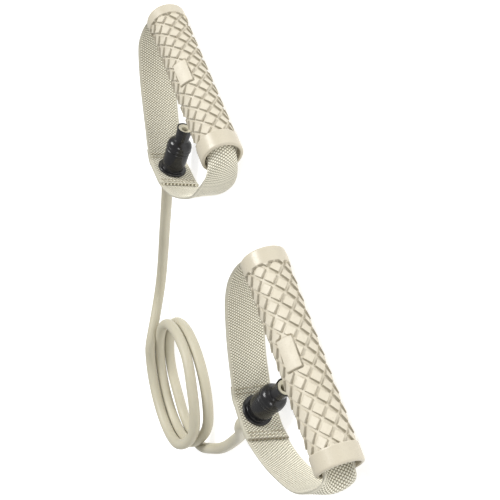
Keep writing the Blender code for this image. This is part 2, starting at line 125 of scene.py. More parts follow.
def add_mesh(name, verts, faces, mat, smooth=True, attributes=None, uv=None):
    mesh = bpy.data.meshes.new(name)
    verts = np.asarray(verts, np.float32)
    faces = np.asarray(faces, np.int32)
    mesh.vertices.add(len(verts))
    mesh.vertices.foreach_set("co", verts.ravel())
    size = faces.shape[1]
    mesh.loops.add(faces.size)
    mesh.loops.foreach_set("vertex_index", faces.ravel())
    mesh.polygons.add(len(faces))
    mesh.polygons.foreach_set("loop_start", np.arange(0, faces.size, size, dtype=np.int32))
    mesh.polygons.foreach_set("loop_total", np.full(len(faces), size, np.int32))
    mesh.update(calc_edges=True)
    for key, values in (attributes or {}).items():
        att = mesh.attributes.new(key, "FLOAT", "POINT")
        att.data.foreach_set("value", np.asarray(values, np.float32).ravel())
    if uv is not None:
        layer = mesh.uv_layers.new(name="UVMap")
        layer.data.foreach_set("uv", np.asarray(uv, np.float32)[faces.ravel()].ravel())
    mesh.validate(clean_customdata=False)
    if smooth:
        mesh.shade_smooth()
    mesh.materials.append(mat)
    obj = bpy.data.objects.new(name, mesh)
    scene.collection.objects.link(obj)
    return obj


def turned(name, profile, mat, matrix, steps=96, sharp=35):
    """Closed profile of (radius, height) turned about the matrix's local Z.
    It runs down the outer side first, then up the inner side."""
    profile = np.asarray(profile, float)
    ang = np.arange(steps) * 2 * math.pi / steps
    local = np.stack([np.outer(profile[:, 0], np.cos(ang)), np.outer(profile[:, 0], np.sin(ang)),
                      np.repeat(profile[:, 1][:, None], steps, 1)], axis=-1)
    rot = np.array(matrix)
    pts = local @ rot[:3, :3].T + rot[:3, 3]
    n = len(profile)
    i, j = np.meshgrid(np.arange(n), np.arange(steps), indexing="ij")
    i2, j2 = (i + 1) % n, (j + 1) % steps
    faces = np.stack([i * steps + j, i2 * steps + j, i2 * steps + j2, i * steps + j2], -1).reshape(-1, 4)
    obj = add_mesh(name, pts.reshape(-1, 3), faces, mat)
    obj.data.set_sharp_from_angle(angle=math.radians(sharp))
    return obj


# ---------------------------------------------------------------- materials
class Shader:
    """Small helper round one Principled material."""

    def __init__(self, name, **sockets):
        self.mat = bpy.data.materials.new(name)
        self.mat.use_nodes = True
        self.tree = self.mat.node_tree
        self.bsdf = self.tree.nodes["Principled BSDF"]
        for key, value in sockets.items():
            self.bsdf.inputs[key.replace("_", " ")].default_value = value

    def node(self, kind, values=None, **props):
        node = self.tree.nodes.new(kind)
        for key, value in props.items():
            setattr(node, key, value)
        for key, value in (values or {}).items():
            if isinstance(value, bpy.types.NodeSocket):
                self.tree.links.new(value, node.inputs[key])
            else:
                node.inputs[key].default_value = value
        return node

    def math(self, op, a, b=None, c=None, clamp=False):
        node = self.node("ShaderNodeMath", operation=op, use_clamp=clamp)
        for k, value in enumerate((a, b, c)):
            if value is None:
                continue
            if isinstance(value, bpy.types.NodeSocket):
                self.tree.links.new(value, node.inputs[k])
            else:
                node.inputs[k].default_value = value
        return node.outputs[0]

    def mix(self, factor, a, b, blend="MIX"):
        node = self.node("ShaderNodeMix", data_type="RGBA", blend_type=blend)
        for key, value in ((0, factor), (6, a), (7, b)):
            if isinstance(value, bpy.types.NodeSocket):
                self.tree.links.new(value, node.inputs[key])
            else:
                node.inputs[key].default_value = value if key == 0 else (*value, 1.0)
        return node.outputs[2]

    def noise(self, vector, scale, detail=4.0, rough=0.55, distortion=0.0):
        return self.node("ShaderNodeTexNoise", {"Vector": vector, "Scale": scale, "Detail": detail,
                                                "Roughness": rough, "Distortion": distortion}).outputs["Fac"]

    def range(self, value, a, b, c, d):
        return self.node("ShaderNodeMapRange", {"Value": value, "From Min": a, "From Max": b,
                                                "To Min": c, "To Max": d}).outputs["Result"]

    def coords(self):
        return self.node("ShaderNodeTexCoord").outputs["Object"]

    def attribute(self, name):
        return self.node("ShaderNodeAttribute", attribute_name=name).outputs["Fac"]

    def bump(self, height, strength, distance, normal=None):
        values = {"Height": height, "Strength": strength, "Distance": distance}
        if normal is not None:
            values["Normal"] = normal
        return self.node("ShaderNodeBump", values).outputs["Normal"]

    def set(self, socket, value):
        self.tree.links.new(value, self.bsdf.inputs[socket])


def grip_rubber():
    s = Shader("cream_rubber", IOR=1.5, Specular_IOR_Level=0.45)
    xyz = s.coords()
    wall_shade, collar = s.attribute("wall_shade"), s.attribute("collar")
    broad = s.noise(xyz, 38.0, 3.0)
    cloud = s.noise(xyz, 240.0, 4.0)
    grain = s.noise(xyz, 2600.0, 3.0, 0.6)
    base = s.mix(s.range(broad, 0.3, 0.7, 0.0, 1.0), (0.612, 0.560, 0.447), (0.652, 0.602, 0.490))
    base = s.mix(s.range(cloud, 0.35, 0.75, 0.0, 0.35), base, (0.560, 0.508, 0.398))
    speck = s.noise(xyz, 1050.0, 2.0, 0.6)
    base = s.mix(s.range(speck, 0.52, 0.72, 0.0, 0.40), base, (0.500, 0.448, 0.340))
    base = s.mix(s.math("MULTIPLY", collar, 0.55), base, (0.510, 0.462, 0.355))
    # painted shade: this attribute darkens the pad walls and the foot of each wall, heaviest on walls turned away
    # from the key light and near black past 0.95
    base = s.mix(s.math("MULTIPLY", wall_shade, 0.82, clamp=True), base, (0.200, 0.174, 0.115))
    base = s.mix(s.range(wall_shade, 0.95, 1.45, 0.0, 0.85), base, (0.052, 0.044, 0.026))
    s.set("Base Color", base)
    rough = s.math("ADD", s.range(grain, 0.3, 0.7, 0.44, 0.54), s.math("MULTIPLY", collar, -0.19))
    s.set("Roughness", s.math("ADD", rough, s.range(cloud, 0.3, 0.7, -0.04, 0.04)))
    fine = s.bump(grain, 0.35, 0.00006)
    fine = s.bump(speck, 0.30, 0.00020, fine)
    s.set("Normal", s.bump(cloud, 0.18, 0.0003, fine))
    return s.mat


def webbing_fabric():
    """Woven strap.  The UV map is the flat strap in millimetres: x across the
    width, y along it."""
    s = Shader("khaki_webbing", IOR=1.45, Specular_IOR_Level=0.3, Sheen_Weight=0.12, Sheen_Roughness=0.5)
    uv = s.node("ShaderNodeUVMap", uv_map="UVMap").outputs["UV"]
    xyz = s.node("ShaderNodeSeparateXYZ", {"Vector": uv})
    x, y = xyz.outputs["X"], xyz.outputs["Y"]
    col = s.math("DIVIDE", x, PITCH_X / MM)
    row = s.math("DIVIDE", y, PITCH_Y / MM)
    index = s.math("FLOOR", col)
    across = s.math("SINE", s.math("MULTIPLY", s.math("FRACT", col), math.pi))
    phase = s.math("ADD", s.math("MULTIPLY", row, 2 * math.pi), s.math("MULTIPLY", index, math.pi))
    float_up = s.math("ADD", s.math("MULTIPLY", s.math("COSINE", phase), 0.60), 0.46, clamp=True)
    yarn = s.math("MULTIPLY", s.math("POWER", float_up, 0.8), s.math("POWER", across, 0.7), clamp=True)
    edge = s.attribute("selvedge")
    yarn = s.math("ADD", s.math("MULTIPLY", yarn, s.math("SUBTRACT", 1.0, s.math("MULTIPLY", edge, 0.55))),
                  s.math("MULTIPLY", edge, 0.30), clamp=True)
    stretched = s.node("ShaderNodeMapping", {"Vector": uv, "Scale": (7.0, 1.2, 1.0)}).outputs["Vector"]
    fibre = s.noise(stretched, 2.2, 5.0, 0.6)
    blotch = s.noise(uv, 0.09, 3.0)
    uneven = s.noise(uv, 0.75, 2.0)
    # painted shade: the dark low colour fills the gaps between yarns, and the high colour is the yarn itself
    low = s.mix(blotch, (0.185, 0.162, 0.098), (0.245, 0.220, 0.145))
    high = s.mix(blotch, (1.0, 0.965, 0.815), (1.0, 0.985, 0.860))
    high = s.mix(s.range(uneven, 0.35, 0.75, 0.0, 0.35), high, (0.760, 0.715, 0.580))
    base = s.mix(s.range(yarn, 0.04, 0.52, 0.0, 1.0), low, high)
    base = s.mix(s.range(fibre, 0.35, 0.75, 0.0, 0.25), base, (0.62, 0.57, 0.45))
    # painted shadow along the cut end of each layer, where the step of the overlap shades the strap
    base = s.mix(s.math("MULTIPLY", s.attribute("cut_edge_shade"), 0.75), base, (0.20, 0.17, 0.11))
    base = s.mix(s.math("MULTIPLY", s.attribute("sewn"), 0.50), base, (0.17, 0.15, 0.09))
    s.set("Base Color", base)
    s.set("Roughness", s.range(fibre, 0.3, 0.7, 0.62, 0.82))
    weave = s.bump(yarn, 0.45, 0.00025)
    s.set("Normal", s.bump(fibre, 0.35, 0.00008, weave))
    return s.mat


def tube_rubber():
    s = Shader("khaki_latex", IOR=1.5, Specular_IOR_Level=0.4, Subsurface_Weight=0.06)
    s.bsdf.inputs["Subsurface Radius"].default_value = (0.0016, 0.0012, 0.0007)
    s.bsdf.inputs["Subsurface Scale"].default_value = 1.0
    xyz = s.coords()
    broad = s.noise(xyz, 26.0, 3.0)
    dust = s.noise(xyz, 420.0, 4.0, 0.6)
    grain = s.noise(xyz, 3000.0, 2.0)
    base = s.mix(s.range(broad, 0.3, 0.7, 0.0, 1.0), (0.470, 0.438, 0.332), (0.515, 0.482, 0.372))
    base = s.mix(s.range(dust, 0.55, 0.8, 0.0, 0.35), base, (0.590, 0.555, 0.440))
    s.set("Base Color", base)
    s.set("Roughness", s.range(dust, 0.3, 0.7, 0.38, 0.55))
    fine = s.bump(grain, 0.25, 0.00004)
    s.set("Normal", s.bump(dust, 0.12, 0.0002, fine))
    return s.mat


def black_plastic(name, low, high, rough, grain_size):
    s = Shader(name, IOR=1.5, Specular_IOR_Level=0.5)
    xyz = s.coords()
    grain = s.noise(xyz, grain_size, 3.0, 0.6)
    smear = s.noise(xyz, 130.0, 4.0, 0.6, 0.6)
    s.set("Base Color", s.mix(s.range(smear, 0.35, 0.7, 0.0, 1.0), low, high))
    s.set("Roughness", s.math("ADD", s.range(smear, 0.3, 0.75, rough, rough + 0.12),
                              s.range(grain, 0.3, 0.7, -0.02, 0.03)))
    s.set("Normal", s.bump(grain, 0.3, 0.00004))
    return s.mat


def plain_plastic(name, low, high, rough):
    s = Shader(name, IOR=1.48, Specular_IOR_Level=0.45)
    xyz = s.coords()
    cloud = s.noise(xyz, 90.0, 3.0)
    grain = s.noise(xyz, 1500.0, 3.0)
    s.set("Base Color", s.mix(s.range(cloud, 0.3, 0.7, 0.0, 1.0), low, high))
    s.set("Roughness", s.range(grain, 0.3, 0.7, rough - 0.05, rough + 0.07))
    s.set("Normal", s.bump(grain, 0.25, 0.00005))
    return s.mat


def thread_fibre():
    s = Shader("stitch_thread", IOR=1.45, Specular_IOR_Level=0.35, Sheen_Weight=0.1)
    xyz = s.coords()
    ply = s.noise(xyz, 3800.0, 2.0)
    tone = s.noise(xyz, 300.0, 2.0)
    s.set("Base Color", s.mix(s.range(tone, 0.3, 0.7, 0.0, 1.0), (0.36, 0.32, 0.22), (0.50, 0.45, 0.33)))
    s.set("Roughness", s.range(ply, 0.3, 0.7, 0.55, 0.75))
    s.set("Normal", s.bump(ply, 0.5, 0.00008))
    return s.mat


# webbing yarn pitch, across and along
COLUMNS = 19
SELVEDGE = 1.7 * MM
WEB_WIDTH = 31.8 * MM
PITCH_X = (WEB_WIDTH - 2 * SELVEDGE) / COLUMNS
PITCH_Y = 2.1 * MM

RUBBER = grip_rubber()
FABRIC = webbing_fabric()
LATEX = tube_rubber()
HOUSING = black_plastic("black_gloss_plastic", (0.006, 0.006, 0.007), (0.013, 0.013, 0.014), 0.17, 1800.0)
EYELET = black_plastic("black_satin_plastic", (0.016, 0.016, 0.017), (0.028, 0.028, 0.030), 0.36, 1500.0)
CORE = plain_plastic("core_plastic", (0.50, 0.46, 0.36), (0.58, 0.54, 0.43), 0.5)
PLUG = plain_plastic("plug_plastic", (0.66, 0.63, 0.57), (0.75, 0.72, 0.66), 0.4)
THREAD = thread_fibre()


# ------------------------------------------------------- dimensions, as in CAD
ORIGIN_SHIFT = (0.10978, 0.04870)
COLLAR_R = 15.0 * MM
GRIP_HALF = 70.0 * MM
GRIP_Z = COLLAR_R
WEB_THICK = 1.8 * MM
WEB_CURL_R = 9.4 * MM
WEB_P = 94.65 * MM
BORE_U = 63.0 * MM
SEW_INNER_END = 20.5 * MM
SEW_OUTER_END = -21.5 * MM
HOLE_R = 6.3 * MM
SEAT_A = dict(u=0.7 * MM, up=0.75 * MM, lean=math.radians(9.6), turn=math.radians(10.0))
SEAT_B = dict(u=-1.4 * MM, up=1.4 * MM, lean=math.radians(13.0), turn=math.radians(-0.7))
TUBE_R = 4.6 * MM
LOOP_U = (66.0, 59.0, 50.0, 40.0, 30.0, 20.5)
LEAN_U = (12.0, 22.0, 35.0, 50.0, 59.0, 66.0, 72.0)
ENDS_A = {
    +1: dict(flat=(71.7, 31.0), next=(74.0, 20.0), bore_pull=(9, 14, 13), flat_pull=(12, 16, 15),
             loop=(42.8, 53.6, 65.0, 75.4, 83.4, 89.4), lean=(9.6, 10.0, 8.0, 3.0, -1.0, -5.0, -9.0)),
    -1: dict(flat=(73.8, 31.0), next=(76.6, 20.0), bore_pull=(10, 13, 11), flat_pull=(12, 14, 13),
             loop=(46.6, 57.2, 67.6, 78.0, 86.8, 92.8), lean=(9.6, 11.5, 14.5, 12.5, 10.0, 7.0, 2.0))}
ENDS_B = {
    +1: dict(flat=(71.8, 31.0), next=(73.8, 20.0), bore_pull=(10, 21, 13), flat_pull=(11, 12, 13),
             loop=(45.3, 56.3, 68.0, 78.0, 85.6, 91.0), lean=(13.0, 13.4, 14.5, 12.5, 10.0, 8.0, 4.0)),
    -1: dict(flat=(70.8, 30.0), next=(72.2, 19.5), bore_pull=(9, 14, 9), flat_pull=(11, 12, 12),
             loop=(45.2, 55.8, 66.8, 76.6, 84.2, 90.2), lean=(13.0, 13.4, 14.5, 12.5, 10.0, 7.0, 2.0))}


class Handle:
    def __init__(self, tag, pos, angle, curl, seat, ends):
        self.tag, self.curl, self.seat, self.turn, self.ends = tag, curl, seat, seat["turn"], ends
        self.u = np.array([math.cos(angle), math.sin(angle), 0.0])
        self.p = np.array([math.sin(angle), -math.cos(angle), 0.0])
        self.z = np.array([0.0, 0.0, 1.0])
        self.origin = np.array([pos[0] + ORIGIN_SHIFT[0], pos[1] + ORIGIN_SHIFT[1], 0.0])

    def world(self, rows):
        rows = np.asarray(rows, float)
        return (self.origin + rows[..., 0:1] * self.u + rows[..., 1:2] * self.p + rows[..., 2:3] * self.z)

    def connector_matrix(self):
        lay = WEB_THICK + 0.5 * GAP
        u, up, lean = self.seat["u"], self.seat["up"], self.seat["lean"]
        middle = 0.5 * WEB_WIDTH * math.cos(lean) + 0.5 * WEB_THICK * math.sin(lean) + 0.06 * MM
        nrm = self.u * math.sin(self.turn) + self.p * math.cos(self.turn)
        face = nrm * math.cos(lean) + self.z * math.sin(lean)
        width = self.z * math.cos(lean) - nrm * math.sin(lean)
        pos = self.world([u, WEB_P - math.tan(self.turn) * u, middle]) + width * up - face * lay
        zaxis = Vector(-face)
        xaxis = Vector((0, 0, 1)).cross(zaxis).normalized()
        yaxis = zaxis.cross(xaxis)
        rot = Matrix((xaxis, yaxis, zaxis)).transposed().to_4x4()
        return Matrix.Translation(Vector(pos)) @ rot

    # ----- strap surface, the same as the CAD solid's middle surface
    def loop(self):
        pts = []
        for side in (+1, -1):
            end = self.ends[side]
            half = [(side * end["next"][0], end["next"][1]), (side * end["flat"][0], end["flat"][1])]
            half += [(side * u, p) for u, p in zip(LOOP_U, end["loop"])]
            seat_u = self.seat["u"] / MM
            for u in (seat_u + side * 12.0, seat_u + side * 6.0):
                half.append((u, WEB_P / MM - math.tan(self.turn) * u))
            pts += half if side > 0 else [(seat_u, WEB_P / MM - math.tan(self.turn) * seat_u)] + half[::-1]
        return smooth_spline(np.array(pts) * MM, 3001)

    def flat_rows(self, path, offset):
        tan = unit(np.gradient(path, axis=0))
        out = np.stack([-tan[:, 1], tan[:, 0]], axis=1)
        if out[len(out) // 2, 1] < 0:
            out = -out
        path = path + out * offset[:, None]
        a = np.abs(path[:, 0]) / MM
        lean = np.where(path[:, 0] > 0, np.interp(a, LEAN_U, self.ends[1]["lean"]),
                        np.interp(a, LEAN_U, self.ends[-1]["lean"]))
        window = np.hanning(301) / np.hanning(301).sum()
        lean = np.radians(np.convolve(np.pad(lean, 150, mode="edge"), window, "valid"))
        height = (0.5 * WEB_WIDTH * np.cos(lean) + 0.5 * WEB_THICK * np.abs(np.sin(lean)) + 0.06 * MM)
        rows = np.empty((len(path), len(self.across), 3))
        for k, w in enumerate(self.across):
            rows[:, k, 0] = path[:, 0] - out[:, 0] * np.sin(lean) * w
            rows[:, k, 1] = path[:, 1] - out[:, 1] * np.sin(lean) * w
            rows[:, k, 2] = height + np.cos(lean) * w
        return rows

    def end_rows(self, side, flat, tangent):
        end = self.ends[side]
        t = np.linspace(0, 1, 201)[:, None]
        rows = np.empty((201, len(self.across), 3))
        for k, w in enumerate(self.across):
            f = 2 * w / WEB_WIDTH
            reach = []
            for low, mid, high in (end["bore_pull"], end["flat_pull"]):
                reach.append((mid + 0.5 * (high - low) * f + (0.5 * (high + low) - mid) * f * f) * MM)
            phi = w / WEB_CURL_R
            p0 = np.array([side * BORE_U, -self.curl * WEB_CURL_R * math.cos(phi),
                           GRIP_Z + WEB_CURL_R * math.sin(phi)])
            c0 = p0 + np.array([side * (reach[0] + 4.2 * MM), 0.0, 0.0])
            p1 = flat[k]
            c1 = p1 - tangent[k] * reach[1]
            rows[:, k] = (1 - t) ** 3 * p0 + 3 * (1 - t) ** 2 * t * c0 + 3 * (1 - t) * t ** 2 * c1 + t ** 3 * p1
        return rows

    def strap_rows(self, across, step):
        """Two half straps that meet in the middle of the bore."""
        self.across = across
        cols = len(across)
        path = self.loop()
        near_u, near_p = (x * MM for x in self.ends[1]["flat"])
        far_u, far_p = (x * MM for x in self.ends[-1]["flat"])
        near = int(np.argmin(np.hypot(path[:, 0] - near_u, path[:, 1] - near_p)))
        far = int(np.argmin(np.hypot(path[:, 0] + far_u, path[:, 1] - far_p)))
        first = int(np.argmax(path[:, 0] < SEW_INNER_END))
        last = int(np.argmax(path[:, 0] < SEW_OUTER_END))
        inner, outer = path[first:far + 1], path[near:last + 1]
        lay = 0.5 * (WEB_THICK + GAP)
        inner = self.flat_rows(inner, -lay * (1 - smoothstep((-inner[:, 0] - 26 * MM) / (34 * MM))))
        outer = self.flat_rows(outer, lay * (1 - smoothstep((outer[:, 0] - 26 * MM) / (34 * MM))))
        far_end = self.end_rows(-1, inner[-1], unit(inner[-2] - inner[-1]))[::-1]
        near_end = self.end_rows(+1, outer[0], unit(outer[1] - outer[0]))
        middle = 0.5 * (far_end[-1] + near_end[0])
        halves = []
        for runs in ([inner, far_end, np.stack([far_end[-1], middle])],
                     [np.stack([middle, near_end[0]]), near_end, outer]):
            rows = []
            for k, run in enumerate(runs):
                line = run[:, cols // 2]
                count = max(2, int(round(np.linalg.norm(np.diff(line, axis=0), axis=1).sum() / step)) + 1)
                run = even_steps(run, count)
                rows.append(run if k == len(runs) - 1 else run[:-1])
            halves.append(np.concatenate(rows))
        return halves


HANDLE_A = Handle("a", (-0.2216, -0.0106), 0.0768, +1, SEAT_A, ENDS_A)
HANDLE_B = Handle("b", (0.0, 0.0), 0.0, -1, SEAT_B, ENDS_B)


# ---------------------------------------------------------------------- cord
COIL_CENTRE = (-0.0960, -0.2685)
COIL_R = 51.6 * MM
COIL_OVAL = 2.7 * MM
COIL_START, COIL_END = 206.0, 1008.0
COIL_STEP = 9.5 * MM


def coil_point(deg):
    angle = math.radians(deg)
    r = COIL_R + COIL_OVAL * math.cos(2 * angle)
    if 935 < deg < 1035:
        r -= 5.5 * MM * math.cos(math.radians(90 * (deg - 985) / 50)) ** 2
    drop = 0.72 * smoothstep((deg - 330) / 52) + 0.28 * smoothstep((deg - 412) / 50)
    z = TUBE_R + COIL_STEP * (2 - drop - smoothstep((deg - 690) / 55))
    return (COIL_CENTRE[0] + ORIGIN_SHIFT[0] + r * math.cos(angle),
            COIL_CENTRE[1] + ORIGIN_SHIFT[1] + r * math.sin(angle), float(z) + 0.1 * MM)


def shifted(x, y, z):
    return (x + ORIGIN_SHIFT[0], y + ORIGIN_SHIFT[1], z)


def exit_of(handle):
    con = handle.connector_matrix()
    t0 = -(2 * WEB_THICK + GAP) - GAP - 1.5 * MM - 2.0 * MM
    return con @ Vector((0, 0, t0)), -(con.to_3x3() @ Vector((0, 0, 1)))


def exit_run(handle, runs):
    s, d = exit_of(handle)
    return [tuple(s + d * run) for run in (0.0,) + runs]


ROUTE = exit_run(HANDLE_A, (2 * MM, 4 * MM)) + [
    shifted(-0.2110, -0.1212, 0.0179), shifted(-0.2102, -0.1310, 0.0166),
    shifted(-0.2086, -0.1420, 0.0156), shifted(-0.2066, -0.1540, 0.0146),
    shifted(-0.2042, -0.1720, 0.0130),
    shifted(-0.2024, -0.1980, 0.0100), shifted(-0.1984, -0.2270, 0.0074),
    shifted(-0.1905, -0.2520, 0.0072), shifted(-0.1790, -0.2680, 0.0104),
    shifted(-0.1640, -0.2765, 0.0163), shifted(-0.1520, -0.2835, 0.0212)]
ROUTE += [coil_point(d) for d in np.linspace(COIL_START, COIL_END, 68)]
ROUTE += [
    shifted(-0.0560, -0.3030, 0.0048), shifted(-0.0385, -0.2850, 0.0048),
    shifted(-0.0290, -0.2620, 0.0048), shifted(-0.0205, -0.2370, 0.0048),
    shifted(-0.0145, -0.2100, 0.0048), shifted(-0.0100, -0.1800, 0.0062),
    shifted(-0.0050, -0.1500, 0.0125)] + list(reversed(exit_run(HANDLE_B, (6 * MM, 15 * MM))))


def add_tube():
    path = smooth_spline(ROUTE, 640)
    curve = bpy.data.curves.new("elastic_tube", "CURVE")
    curve.dimensions = "3D"
    spline = curve.splines.new("POLY")
    spline.points.add(len(path) - 1)
    spline.points.foreach_set("co", np.concatenate([path, np.ones((len(path), 1))], axis=1).ravel())
    spline.use_smooth = True
    curve.bevel_depth = TUBE_R
    curve.bevel_resolution = 8
    curve.use_fill_caps = True
    curve.materials.append(LATEX)
    obj = bpy.data.objects.new("elastic_tube", curve)
    scene.collection.objects.link(obj)
    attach(obj, "straps_and_tube")
    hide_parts("tube_a", "tube_b", "tube_coil")
    tuple(exit_of(HANDLE_A)[0])
    return obj


add_tube()


# --------------------------------------------------------------------- grips
SUB = 16                       # mesh steps in half a pad pitch
FLOOR_R = 13.0 * MM             # bottom of the grooves
PAD_R = 14.15 * MM             # middle of a pad
PLATE_R = 14.85 * MM
PAD_TILT = 0.72 * MM            # each pad rises towards the handle's +u end, like a scale


def grip(handle, theta0, pitch, ref, pad_lo, pad_hi, plate_u, plate_half):
    """Moulded sleeve: 16 columns of diamond pads round it, a bare raised plate
    in their middle, plain collars at the ends, and the bore."""
    turns = 16 * SUB
    theta = math.radians(theta0) + np.arange(turns) * 2 * math.pi / turns
    cell = pitch / 2 / SUB
    lo = math.floor((pad_lo - 1.2 - ref) / cell)
    hi = math.ceil((pad_hi + 1.2 - ref) / cell)
    mid_u = ref + np.arange(lo, hi + 1) * cell
    far_u = np.linspace(-GRIP_HALF / MM + 1.4, mid_u[0], 8)[:-1]
    near_u = np.linspace(mid_u[-1], GRIP_HALF / MM - 1.4, 8)[1:]
    body_u = np.concatenate([far_u, mid_u, near_u])

    a = (np.arange(turns) / SUB)[None, :]
    b = ((body_u - ref) / (pitch / 2))[:, None]
    dist = np.full((len(body_u), turns), 9.0)
    near_col, near_row = np.zeros_like(dist), np.zeros_like(dist)
    for da in (0, 1):
        for db in (0, 1):
            m, n = np.floor(a) + da, np.floor(b) + db
            d = np.abs(a - m) + np.abs(b - n)
            ok = ((m + n) % 2 == 0) & (d < dist)
            dist = np.where(ok, d, dist)
            near_col = np.where(ok, a - m, near_col)
            near_row = np.where(ok, b - n, near_row)
    pad = np.interp(dist, [0.6875, 0.75, 0.8125], [1.0, 0.74, 0.0])
    bend = near_col * math.radians(22.5)
    pad_r = PAD_R * (1 + 0.5 * (1 / np.cos(bend) - 1)) + PAD_TILT * np.clip(near_row / 0.7, -1, 1)
    pad_r = np.minimum(pad_r, COLLAR_R - 0.03 * MM)
    shade_weight = np.interp(near_row, [-0.20, 0.10], [0.10, 1.0])      # painted shade, heaviest on the walls on the raised side
    side = (((np.arange(turns) / turns + 0.5) % 1.0) - 0.5)[None, :] * 2 * math.pi
    inward = -np.sign(near_col) * np.clip(side / 0.55, -1, 1)     # 1 on walls turned back to the plate's line, which get the darkest painted shade
    shade_weight = shade_weight * np.interp(inward, [-1, 0, 1], [0.42, 0.88, 1.55])

    arc = (((np.arange(turns) / turns + 0.5) % 1.0) - 0.5)[None, :] * 2 * math.pi * 14.85
    du = np.abs(body_u[:, None] - plate_u) - (plate_half - 1.0)
    da = np.abs(arc) - (5.5 - 1.0)
    sd = np.hypot(np.maximum(du, 0), np.maximum(da, 0)) + np.minimum(np.maximum(du, da), 0) - 1.0
    pad = pad * np.interp(sd, [0.72, 1.1], [0.0, 1.0])
    plate = np.interp(sd, [-0.12, 0.22], [1.0, 0.0])
    u2 = np.broadcast_to(body_u[:, None], dist.shape)
    collar = np.maximum(np.interp(u2, [pad_lo - 0.25, pad_lo + 0.2], [1.0, 0.0]),
                        np.interp(u2, [pad_hi - 0.2, pad_hi + 0.25], [0.0, 1.0]))
    r = FLOOR_R + (pad_r - FLOOR_R) * pad
    r = np.maximum(r, FLOOR_R + (PLATE_R - FLOOR_R) * plate)
    r = np.maximum(r, FLOOR_R + (COLLAR_R - FLOOR_R) * collar)
    high = np.maximum(np.maximum(pad, plate), collar)
    # painted shade round the plate, light at its -u end and heaviest at its +u end; on the last pad rows it is
    # full at the far collar and light at the near collar
    shade_weight = np.where(sd < 1.0, np.interp((u2 - plate_u) / plate_half, [-0.9, 0.6], [0.25, 1.0]), shade_weight)
    shade_weight = np.where(u2 < pad_lo + 0.5, 1.0, np.where(u2 > pad_hi - 0.5, 0.35, shade_weight))
    plain = smoothstep((np.maximum(pad_lo - u2, u2 - pad_hi) - 0.2) / 0.8)

    ends = []
    L = GRIP_HALF / MM
    for k in range(1, 7):
        phi = math.radians(15 * k)
        ends.append((L - 1.4 + 1.4 * math.sin(phi), 13.6 + 1.4 * math.cos(phi)))
    ends += [(L - 0.02, 13.1), (L - 0.25, 12.75), (L - 0.75, 12.55), (L - 1.6, 12.5), (L - 12.0, 12.5)]
    rows_u, rows_r, rows_h, rows_c, rows_f = [], [], [], [], []
    for u, radius, hgt, c, f in zip(body_u, r, high, plain, shade_weight):
        rows_u.append(np.full(turns, u)), rows_r.append(radius), rows_h.append(hgt), rows_c.append(c)
        rows_f.append(f)
    for u, radius in ends + [(0.0, 12.5)] + [(-q, w) for q, w in reversed(ends)]:
        rows_u.append(np.full(turns, u)), rows_r.append(np.full(turns, radius * MM))
        rows_h.append(np.ones(turns)), rows_c.append(np.full(turns, 1.0 if abs(u) > L - 2 else 0.0))
        rows_f.append(np.ones(turns))
    uu, rr = np.array(rows_u) * MM, np.array(rows_r)
    centre = handle.world([0.0, 0.0, GRIP_Z])
    ring = np.cos(theta)[:, None] * handle.z - np.sin(theta)[:, None] * handle.p
    pts = centre + uu[..., None] * handle.u + rr[..., None] * ring[None]
    n = len(uu)
    i, j = np.meshgrid(np.arange(n), np.arange(turns), indexing="ij")
    i2, j2 = (i + 1) % n, (j + 1) % turns
    faces = np.stack([i * turns + j, i2 * turns + j, i2 * turns + j2, i * turns + j2], -1).reshape(-1, 4)
    hgt = np.array(rows_h)
    # painted shade on the pad walls, strongest halfway up a wall
    wall = np.interp(hgt, [0.0, 0.05, 0.5, 0.85, 1.0], [0.05, 0.70, 0.95, 0.6, 0.0])
    for axis in (0, 1):                     # painted shade at the foot of each wall too
        near = np.maximum(np.roll(hgt, 1, axis), np.roll(hgt, -1, axis))
        wall = np.where((hgt < 0.05) & (near > 0.5), 0.50, wall)
    wall = wall * np.array(rows_f)
    obj = add_mesh("grip_" + handle.tag, pts.reshape(-1, 3), faces, RUBBER,
                   attributes={"wall_shade": wall, "collar": np.array(rows_c)})
    obj.data.set_sharp_from_angle(angle=math.radians(42))
    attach(obj, "grip_" + handle.tag)
    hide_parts("grip_sleeve_" + handle.tag)
    return obj


grip(HANDLE_A, 50.5, 12.30, 3.1, -60.7, 56.7, -1.9, 9.9)
grip(HANDLE_B, 45.0, 12.25, 5.8, -59.1, 58.4, 0.1, 10.0)


# ------------------------------------------------------------------- webbing
RELIEF = 0.17 * MM


def weave_height(col, row):
    index = np.floor(col)
    across = np.sin(np.pi * (col - index))
    up = np.clip(np.cos(2 * np.pi * row + np.pi * index) * 0.60 + 0.46, 0, 1)
    return up ** 0.8 * across ** 0.7


SEWN = {"a": (17.2 * MM, 14.4 * MM, -13.6 * MM, -16.2 * MM),     # rows of sewing across the overlap
        "b": (17.2 * MM, 14.4 * MM, -15.4 * MM, -18.2 * MM)}


